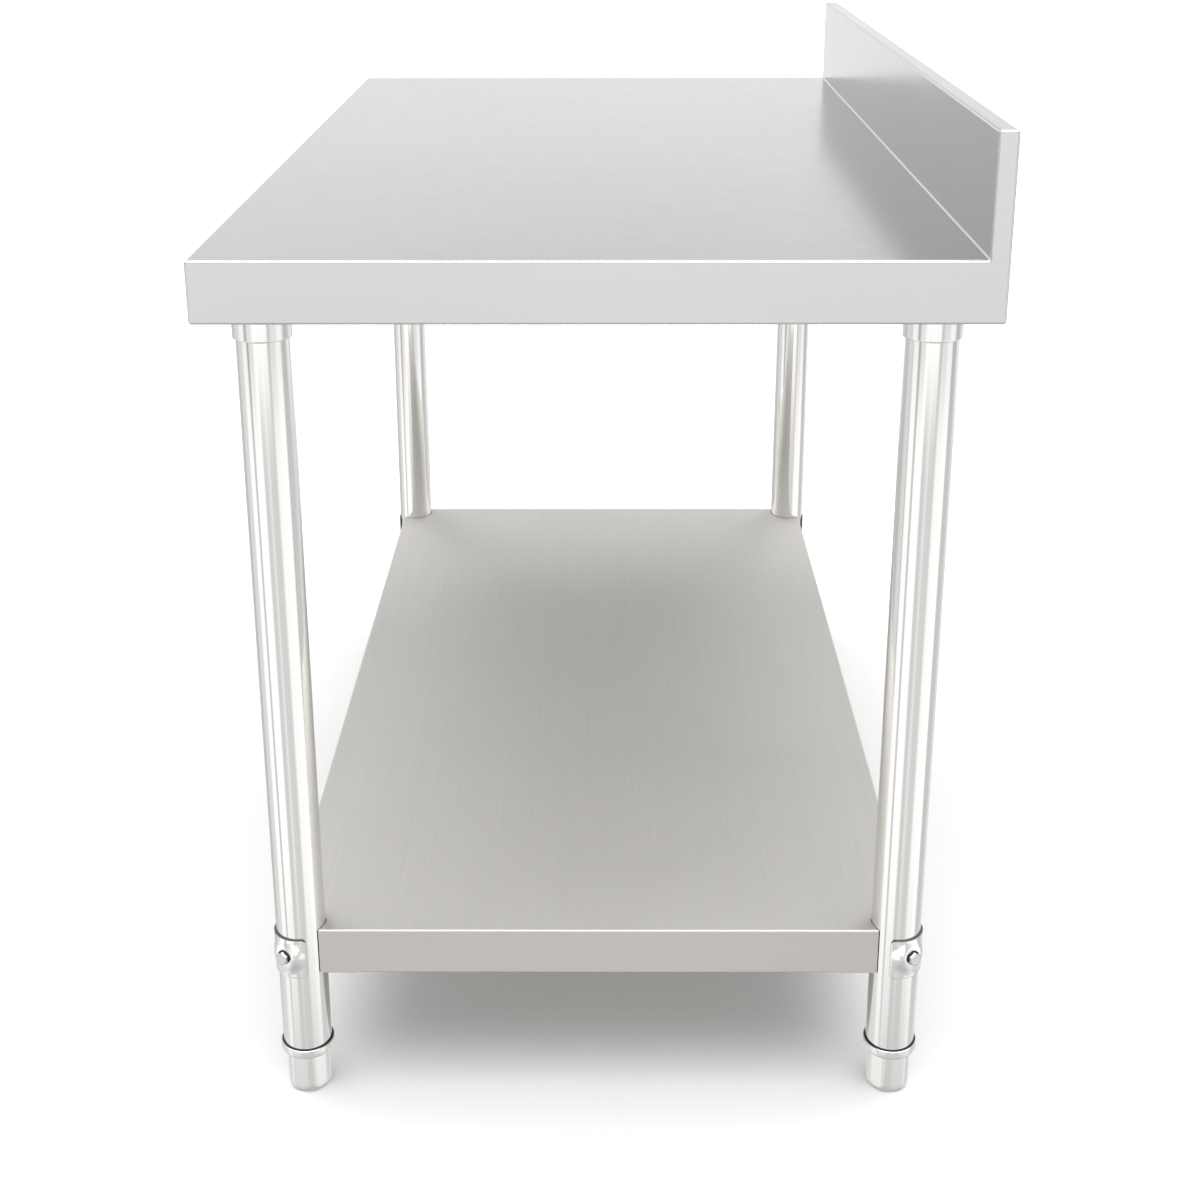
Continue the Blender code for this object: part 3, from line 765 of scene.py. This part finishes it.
def saddle(middle, half_angle, inner_radius, columns, rows, dome, low_z, high_z):
    """A curved plate with rounded corners and softened edges, as a closed body. The faces of its edge
    have material index 1."""
    shape = bmesh.new()
    half_height = (high_z - low_z) / 2
    middle_z = (high_z + low_z) / 2
    half_arc = half_angle * inner_radius
    seat = inner_radius + SADDLE_SHEET + DOME_RISE

    def point(arc, height, depth):
        radius = inner_radius + depth
        angle = middle + arc / inner_radius
        spot = Vector((radius * math.cos(angle), radius * math.sin(angle), height))
        if dome:
            away = math.hypot(angle * inner_radius, height - BOLT_HEIGHT)
            share = min(1.0, max(0.0, (DOME_RADIUS - away) / (DOME_RADIUS - DOME_SEAT_RADIUS)))
            share = share * share * (3 - 2 * share)
            spot.x += (seat - SADDLE_SHEET + depth - spot.x) * share
        return spot

    corner_steps = 6

    def grid(inset, depth):
        corner = SADDLE_CORNER - inset
        straight = half_arc - SADDLE_CORNER
        turns = [math.pi / 2 * i / corner_steps for i in range(1, corner_steps + 1)]
        ends = [straight + corner * math.sin(turn) for turn in turns]
        arcs = [straight * (2 * i / columns - 1) for i in range(columns + 1)]
        made = []
        for arc in [-a for a in reversed(ends)] + arcs + ends:
            past = max(0.0, abs(arc) - straight)
            trim = corner - math.sqrt(max(0.0, corner**2 - past**2))
            reach = half_height - inset - trim
            heights = [middle_z + reach * (2 * j / rows - 1) for j in range(rows + 1)]
            made.append([point(arc, height, depth) for height in heights])
        return made

    layers = []
    for depth_at, rise in ((0.0, 1), (SADDLE_SHEET, -1)):
        steps = []
        for i in range(3):
            t = math.pi / 2 * i / 2
            inset = SADDLE_EDGE * (1 - math.sin(t))
            steps.append((inset, depth_at + rise * SADDLE_EDGE * (1 - math.cos(t))))
        layers += steps if rise == 1 else steps[::-1]
    grids = []
    for layer in (layers[0], layers[-1]):
        grids.append([[shape.verts.new(p) for p in column] for column in grid(*layer)])
    across = len(grids[0])
    for made in grids:
        for a, b in zip(made, made[1:]):
            for j in range(rows):
                shape.faces.new((a[j], a[j + 1], b[j + 1], b[j]))

    def border(columns_of):
        loop = [columns_of[i][0] for i in range(across)]
        loop += [columns_of[-1][j] for j in range(1, rows)]
        loop += [columns_of[i][rows] for i in range(across - 1, -1, -1)]
        loop += [columns_of[0][j] for j in range(rows - 1, 0, -1)]
        return loop

    loops = [border(grids[0])]
    for layer in layers[1:-1]:
        loops.append([shape.verts.new(p) for p in border(grid(*layer))])
    loops.append(border(grids[1]))
    for a, b in zip(loops, loops[1:]):
        for i in range(len(a)):
            j = (i + 1) % len(a)
            shape.faces.new((a[i], a[j], b[j], b[i])).material_index = 1
    return shape


def hex_head(flats, base, height, chamfer_start):
    """Sections of a hexagon head whose far face is chamfered all round."""
    corner = flats / 2 / math.cos(math.pi / 6)
    face = flats * 0.47

    def radius(angle, z):
        flat = hexagon(flats, 0.01)(angle)
        rise = (z - base) / height
        if rise <= chamfer_start:
            return flat
        share = (rise - chamfer_start) / (1 - chamfer_start)
        return min(flat, corner + (face - corner) * share)

    steps = 8
    sections = [(radius, base), (radius, base + height * chamfer_start)]
    for i in range(1, steps + 1):
        sections.append((radius, base + height * (chamfer_start + (1 - chamfer_start) * i / steps)))
    return sections


def thread(radius, depth, pitch, low, high):
    """Sections of a right-hand thread round Z, with plain ends."""

    def wall(angle, z):
        turn = (z / pitch - angle / math.tau) % 1.0
        rise = min(1.0, max(0.0, (abs(turn - 0.5) * 2 - 0.12) / 0.76))
        full = max(0.0, min(1.0, (z - low) / pitch, (high - z) / pitch))
        return radius - depth * (1 - rise) * full - depth * 0.6 * (1 - full)

    count = max(2, round((high - low) / pitch * 10))
    return [(wall, low + (high - low) * i / count) for i in range(count + 1)]


def build_clamp(name, matrix, diagonal, leg_radius):
    """Both plates, the bolt with its washer, and the nut. The plates are centred on the diagonal, and
    the bolt lies along +X of the matrix."""
    low, high = box_of("clamp_plate_" + name)
    inner = leg_radius + GAP
    outer_plate = saddle(diagonal, math.radians(65), inner, 72, 32, True, low.z, high.z)
    # The edge faces of both plates take the dark painted shade, for the shadow gap along the leg.
    piece("clamp_" + name, outer_plate, "fitting", ROOT, ["clamp_plate_" + name], 50, matrix, "edge_shade")
    inner_plate = saddle(math.pi + diagonal, math.radians(74), inner, 64, 8, False, low.z, high.z)
    piece("saddle_" + name, inner_plate, "fitting", ROOT, ["shelf_saddle_" + name], 50, matrix, "edge_shade")

    head_seat = inner + SADDLE_SHEET + DOME_RISE + GAP
    nut_seat = -(inner + SADDLE_SHEET + GAP)
    tip = nut_seat - NUT_HEIGHT - 0.003
    # The washer is near black: painted shadow for the ring of shade round the bolt head.
    washer, washer_radius = 0.0010, 0.0072
    hole, under, over = BOLT_RADIUS + GAP / 2, head_seat - GAP / 2, head_seat + washer - 0.0002
    sections = [(hole, under), (washer_radius - 0.0002, under), (washer_radius, head_seat)]
    sections += [(washer_radius, over), (hole, over)]
    black_shade = along_x(turned(sections, 64, closed=True), BOLT_HEIGHT)
    piece("washer_" + name, black_shade, "black_shade", ROOT, (), 40, matrix)
    sections = [(0, tip), (BOLT_RADIUS - BOLT_THREAD_DEPTH, tip)]
    sections += thread(BOLT_RADIUS, BOLT_THREAD_DEPTH, BOLT_PITCH, tip + 0.0004, -leg_radius + 0.004)
    sections += [(BOLT_RADIUS, -leg_radius + 0.0042), (BOLT_RADIUS, head_seat)]
    sections += [(BOLT_RADIUS, head_seat + washer)]
    sections += hex_head(BOLT_HEAD_FLATS, head_seat + washer, BOLT_HEAD_HEIGHT - washer, 0.80)
    head_face = head_seat + BOLT_HEAD_HEIGHT
    sections += [(BOLT_HEAD_FLATS * 0.36, head_face), (0, head_face - 0.0003)]
    bolt = along_x(turned(sections, 96), BOLT_HEIGHT)
    piece("bolt_" + name, bolt, "screw", ROOT, ["clamp_bolt_" + name], 40, matrix)

    bore = BOLT_RADIUS + GAP
    nut_low = nut_seat - NUT_HEIGHT
    corner = BOLT_HEAD_FLATS / 2 / math.cos(math.pi / 6)
    face = BOLT_HEAD_FLATS * 0.47

    def wall(angle, z):
        away = min(z - nut_low, nut_seat - z) / (NUT_HEIGHT * 0.16)
        return min(hexagon(BOLT_HEAD_FLATS, 0.01)(angle), face + (corner - face) * min(1.0, max(0.0, away)))

    sections = [(bore, nut_low + 0.0004), (bore + 0.0005, nut_low)]
    edge = [nut_low + NUT_HEIGHT * 0.16 * i / 6 for i in range(7)]
    sections += [(wall, z) for z in edge + [nut_seat - (z - nut_low) for z in reversed(edge)]]
    sections += [(bore + 0.0005, nut_seat), (bore, nut_seat - 0.0004)]
    nut = along_x(turned(sections, 96, closed=True), BOLT_HEIGHT)
    piece("nut_" + name, nut, "screw", ROOT, ["clamp_nut_" + name], 40, matrix)


def build_foot(name, matrix, leg_radius):
    low, high = box_of("foot_plug_" + name)
    ring_low, ring_top = low.z, FOOT_RING_TOP
    ring = (high.x - low.x) / 2
    bore = STUD_BORE
    sleeve = leg_radius - LEG_WALL - GAP
    chamfer, soft = 0.0040, 0.0009
    sections = [(bore, high.z), (bore, ring_low + 0.0006)]
    sections += [(bore + 0.0006, ring_low), (ring - chamfer - 0.0005, ring_low)]
    sections += fillet(ring - chamfer, ring_low + 0.0001, ring, ring_low + chamfer, 6, False)
    sections += [(ring, (ring_low + chamfer + ring_top) / 2)]
    sections += fillet(ring, ring_top - soft, ring - soft, ring_top, 5, True)
    sections += [(sleeve + 0.0002, ring_top), (sleeve, ring_top + 0.0004), (sleeve, high.z - 0.001)]
    sections += [(sleeve - 0.001, high.z)]
    plug = turned(sections, closed=True)
    piece("plug_" + name, plug, "fitting", ROOT, ["foot_plug_" + name], matrix=matrix)

    # Not a real part: a thin near-black ring on the plug's top, painted shade for the shadow gap where the
    # tube meets the ring.
    inside, outside = sleeve + 0.0004, ring - soft
    under, over = ring_top + 0.00003, ring_top + GAP - 0.00004
    shade_ring = turned([(inside, under), (outside, under), (outside, over), (inside, over)], closed=True)
    piece("shade_ring_" + name, shade_ring, "black_shade", ROOT, (), matrix=matrix)

    body = "foot_screw_" + name
    low, high = box_of("foot_body_" + name)
    bottom, top = low.z, high.z
    limit, nose, blend = 0.0222, 0.0180, 0.0012
    nose_height, edge = 0.0090, 0.0010

    def wall_at(radius):
        """The rounded hexagon, held within a radius. Near the nose the limit is a plain circle."""

        def wall(angle, z):
            flat = hexagon(FOOT_FLATS)(angle)
            if radius > nose:
                return soft_min(flat, radius, blend)
            return min(soft_min(flat, limit, blend), radius)

        return wall

    recess, glide_top = 0.0113, 0.0043
    sections = [(0, top - 0.0140), (bore, top - 0.0140), (bore, top - 0.0005), (bore + 0.0005, top)]
    for i in range(5):
        t = math.pi / 2 * i / 4
        sections.append((wall_at(limit - edge * (1 - math.sin(t))), top - edge * (1 - math.cos(t))))
    steps = 14
    spread = limit - nose
    for i in range(steps + 1):
        t = math.pi / 2 * i / steps
        radius = nose + spread * math.cos(t)
        sections.append((wall_at(radius), bottom + nose_height * (1 - math.sin(t))))
    sections += [(recess + 0.0006, bottom), (recess, bottom + 0.0006), (recess, glide_top), (0, glide_top)]
    piece("foot_" + name, turned(sections, 144), "fitting", body, ["foot_body_" + name], 40, matrix)

    low, high = box_of("foot_stud_" + name)
    radius = (high.x - low.x) / 2
    plain = low.z + 0.0125
    sections = [(0, low.z), (radius - 0.001, low.z), (radius - 0.001, plain)]
    sections += thread(radius, THREAD_DEPTH, THREAD_PITCH, plain, high.z - 0.0006)
    sections += [(radius - THREAD_DEPTH, high.z), (0, high.z)]
    piece("stud_" + name, turned(sections, 48), "screw", body, ["foot_stud_" + name], 60, matrix)

    low, high = box_of("foot_glide_" + name)
    radius = (high.x - low.x) / 2
    sections = [(0, low.z), (radius - 0.0008, low.z)]
    sections += fillet(radius - 0.0008, low.z, radius, low.z + 0.0008, 4, False)
    sections += [(radius, high.z - 0.0003), (radius - 0.0003, high.z), (0, high.z)]
    glide = turned(sections, 96)
    piece("glide_" + name, glide, "glide", "foot_pad_" + name, ["foot_glide_" + name], matrix=matrix)


# ---------------------------------------------------------------- stage

# Name, half size along X and Y, and height
FLOORS = (("floor", 60.0, 60.0, -0.0002), ("floor_under_table", 0.50, 0.25, -0.0001))


def build_stage():
    """A plain pale floor. Reflections see it only under the table, and the studio's ring beyond."""
    material = bpy.data.materials.new("floor_paper")
    g = Graph(material)
    g.put(g.shader.inputs["Base Color"], FLOOR)
    g.put(g.shader.inputs["Roughness"], 0.9)
    g.put(g.shader.inputs["Specular IOR Level"], 0.0)
    for name, half_x, half_y, height in FLOORS:
        shape = bmesh.new()
        corners = ((-1, -1), (1, -1), (1, 1), (-1, 1))
        shape.faces.new([shape.verts.new((x * half_x, y * half_y, height)) for x, y in corners])
        mesh = bpy.data.meshes.new(name)
        shape.to_mesh(mesh)
        shape.free()
        mesh.materials.append(material)
        floor = bpy.data.objects.new(name, mesh)
        bpy.context.scene.collection.objects.link(floor)
        floor.visible_glossy = name != "floor"
        floor.visible_camera = floor.visible_diffuse = name == "floor"
        floor.visible_shadow = False


# The studio's levels below the horizon, by degrees from +X toward +Y: white walls with soft grey gaps
LOW_RING = [
    (-180, 0.62),
    (-125, 0.62),
    (-112, 0.86),
    (-92, 0.88),
    (-82, 1.30),
    (-66, 1.30),
    (-62, 0.72),
    (-56, 0.72),
    (-52, 1.32),
    (-24, 1.28),
    (-18, 0.76),
    (-8, 0.80),
    (2, 1.02),
    (9, 0.82),
    (30, 0.80),
    (40, 1.22),
    (84, 1.32),
    (90, 0.72),
    (116, 0.70),
    (128, 0.84),
    (160, 0.84),
    (180, 0.62),
]
# The same further down, where the floor's foot is nearer and plainer
STEEP_RING = [
    (-180, 0.80),
    (-120, 0.86),
    (-95, 0.86),
    (-78, 1.00),
    (-66, 1.03),
    (-56, 0.80),
    (-25, 0.72),
    (-5, 0.70),
    (30, 0.71),
    (52, 0.77),
    (66, 0.86),
    (78, 1.00),
    (92, 0.82),
    (107, 0.77),
    (130, 0.82),
    (180, 0.80),
]
# The same at eye level: the ring goes on, with a white wall at -X
EYE_RING = [
    (-180, 1.38),
    (-162, 1.38),
    (-150, 0.80),
    (-125, 0.62),
    (-112, 0.84),
    (-95, 0.84),
    (-82, 1.12),
    (-66, 1.12),
    (-62, 0.50),
    (-56, 0.50),
    (-50, 0.92),
    (-38, 0.92),
    (-26, 1.30),
    (22, 1.30),
    (30, 0.60),
    (40, 0.90),
    (55, 0.90),
    (66, 1.12),
    (84, 1.12),
    (90, 0.60),
    (112, 0.62),
    (124, 1.00),
    (140, 1.00),
    (148, 0.60),
    (156, 1.38),
    (180, 1.38),
]
# The walls above it, whose upper part is dimmer
WALL_RING = [
    (-180, 1.38),
    (-115, 1.38),
    (-90, 0.86),
    (-20, 0.92),
    (20, 0.92),
    (90, 0.86),
    (115, 1.38),
    (180, 1.38),
]
WALL_TOP = 0.72
RING_PEAK = 1.4

# The level straight down, the ceiling, and a dark flag that hangs high at -X
NADIR = 0.60
CEILING = 4.0
FLAG = 0.10
FLAG_DIRECTION = (-0.766, 0.0, 0.643)
FLAG_EDGE = (0.90, 0.96)

# What the camera sees behind the table
BACKDROP = 1.05

# The heights (Z of a direction) between which one part of the studio fades into the next
STEEP_FADE = (-0.90, -0.72)
LOW_FADE = (-0.66, -0.52)
EYE_FADE = (-0.34, -0.26)
WALL_FADE = (0.06, 0.15)
WALL_TOP_FADE = (0.12, 0.40)
CEILING_FADE = (0.66, 0.88)


def build_world():
    """A studio as seen from the table: three rings under the horizon, walls over it, a bright ceiling,
    and a small dark flag. The camera itself sees plain white."""
    world = bpy.data.worlds.new("studio")
    bpy.context.scene.world = world
    world.use_nodes = True
    tree = world.node_tree
    tree.nodes.clear()

    def node(kind, inputs=None, **settings):
        made = tree.nodes.new(kind)
        for key, value in settings.items():
            setattr(made, key, value)
        for key, value in (inputs or {}).items():
            if isinstance(value, bpy.types.NodeSocket):
                tree.links.new(value, made.inputs[key])
            else:
                made.inputs[key].default_value = value
        return made

    direction = node("ShaderNodeTexCoord").outputs["Generated"]
    split = node("ShaderNodeSeparateXYZ", {0: direction})
    turn = node("ShaderNodeMath", {0: split.outputs["Y"], 1: split.outputs["X"]}, operation="ARCTAN2")
    share = node(
        "ShaderNodeMapRange",
        {"Value": turn.outputs[0], "From Min": -math.pi, "From Max": math.pi, "To Min": 0.0, "To Max": 1.0},
    )

    def ring(levels):
        ramp = node("ShaderNodeValToRGB", {0: share.outputs["Result"]})
        stops = ramp.color_ramp.elements
        while len(stops) < len(levels):
            stops.new(0.5)
        for stop, (degrees, level) in zip(stops, levels):
            stop.position = (degrees + 180) / 360
        for stop, (degrees, level) in zip(stops, levels):
            grey = level / RING_PEAK
            stop.color = (grey, grey, grey, 1.0)
        level = {0: ramp.outputs["Color"], 1: RING_PEAK}
        return node("ShaderNodeMath", level, operation="MULTIPLY").outputs[0]

    def smooth(value, ends):
        """0 to 1 as a value goes from one end to the other."""
        made = node(
            "ShaderNodeMapRange",
            {"Value": value, "From Min": ends[0], "From Max": ends[1], "To Min": 0.0, "To Max": 1.0},
            interpolation_type="SMOOTHSTEP",
        )
        return made.outputs["Result"]

    def fade(ends):
        return smooth(split.outputs["Z"], ends)

    def mix(factor, below, above):
        made = node("ShaderNodeMix", {"Factor": factor, "A": below, "B": above}, data_type="FLOAT")
        return made.outputs["Result"]

    level = mix(fade(STEEP_FADE), NADIR, ring(STEEP_RING))
    level = mix(fade(LOW_FADE), level, ring(LOW_RING))
    level = mix(fade(EYE_FADE), level, ring(EYE_RING))
    wall = ring(WALL_RING)
    wall_top = node("ShaderNodeMath", {0: wall, 1: WALL_TOP}, operation="MULTIPLY").outputs[0]
    level = mix(fade(WALL_FADE), level, mix(fade(WALL_TOP_FADE), wall, wall_top))
    level = mix(fade(CEILING_FADE), level, CEILING)
    near_flag = node("ShaderNodeVectorMath", {0: direction, 1: FLAG_DIRECTION}, operation="DOT_PRODUCT")
    level = mix(smooth(near_flag.outputs["Value"], FLAG_EDGE), level, FLAG)
    studio = node("ShaderNodeBackground", {"Color": (1.0, 1.0, 1.0, 1.0), "Strength": level})
    plain = node("ShaderNodeBackground", {"Color": (1.0, 1.0, 1.0, 1.0), "Strength": BACKDROP})
    path = node("ShaderNodeLightPath")
    seen = path.outputs["Is Camera Ray"]
    both = node("ShaderNodeMixShader", {0: seen, 1: studio.outputs[0], 2: plain.outputs[0]})
    node("ShaderNodeOutputWorld", {0: both.outputs[0]})


def build_camera():
    data = bpy.data.cameras.new("camera")
    camera = bpy.data.objects.new("camera", data)
    bpy.context.scene.collection.objects.link(camera)
    bpy.context.scene.camera = camera
    data.sensor_width = 36.0
    data.lens = CAMERA_LENS
    data.shift_y = CAMERA_SHIFT
    # facing looks along -X with +Z up
    facing = Matrix(((0, 0, 1), (1, 0, 0), (0, 1, 0)))
    turn = Matrix.Identity(3)
    for axis, angle in CAMERA_TURN:
        turn = turn @ Matrix.Rotation(angle, 3, axis)
    camera.matrix_world = Matrix.Translation(CAMERA_PLACE) @ (facing @ turn).to_4x4()
    data.clip_start = 0.05
    data.clip_end = 200.0
    data.dof.use_dof = False


def main():
    build_worktop()
    build_end_cap(1, "end_cap_right", "end_plate_right")
    build_end_cap(-1, "end_cap_left", "end_plate_left")
    build_channels()
    build_shelf()
    for name, (side_x, side_y) in CORNERS.items():
        matrix = leg_frame(side_x, side_y)
        turn = side_x * side_y * BOLT_TURN
        leg_radius = build_tube(name, matrix)
        build_cup(name, matrix, leg_radius)
        build_clamp(name, leg_frame(side_x, side_y, turn), turn, leg_radius)
        build_foot(name, matrix, leg_radius)
    settle()
    build_stage()
    build_world()
    build_camera()
    view = bpy.context.scene.view_settings
    view.view_transform = "Standard"
    view.look = "None"
    bpy.context.view_layer.update()


main()
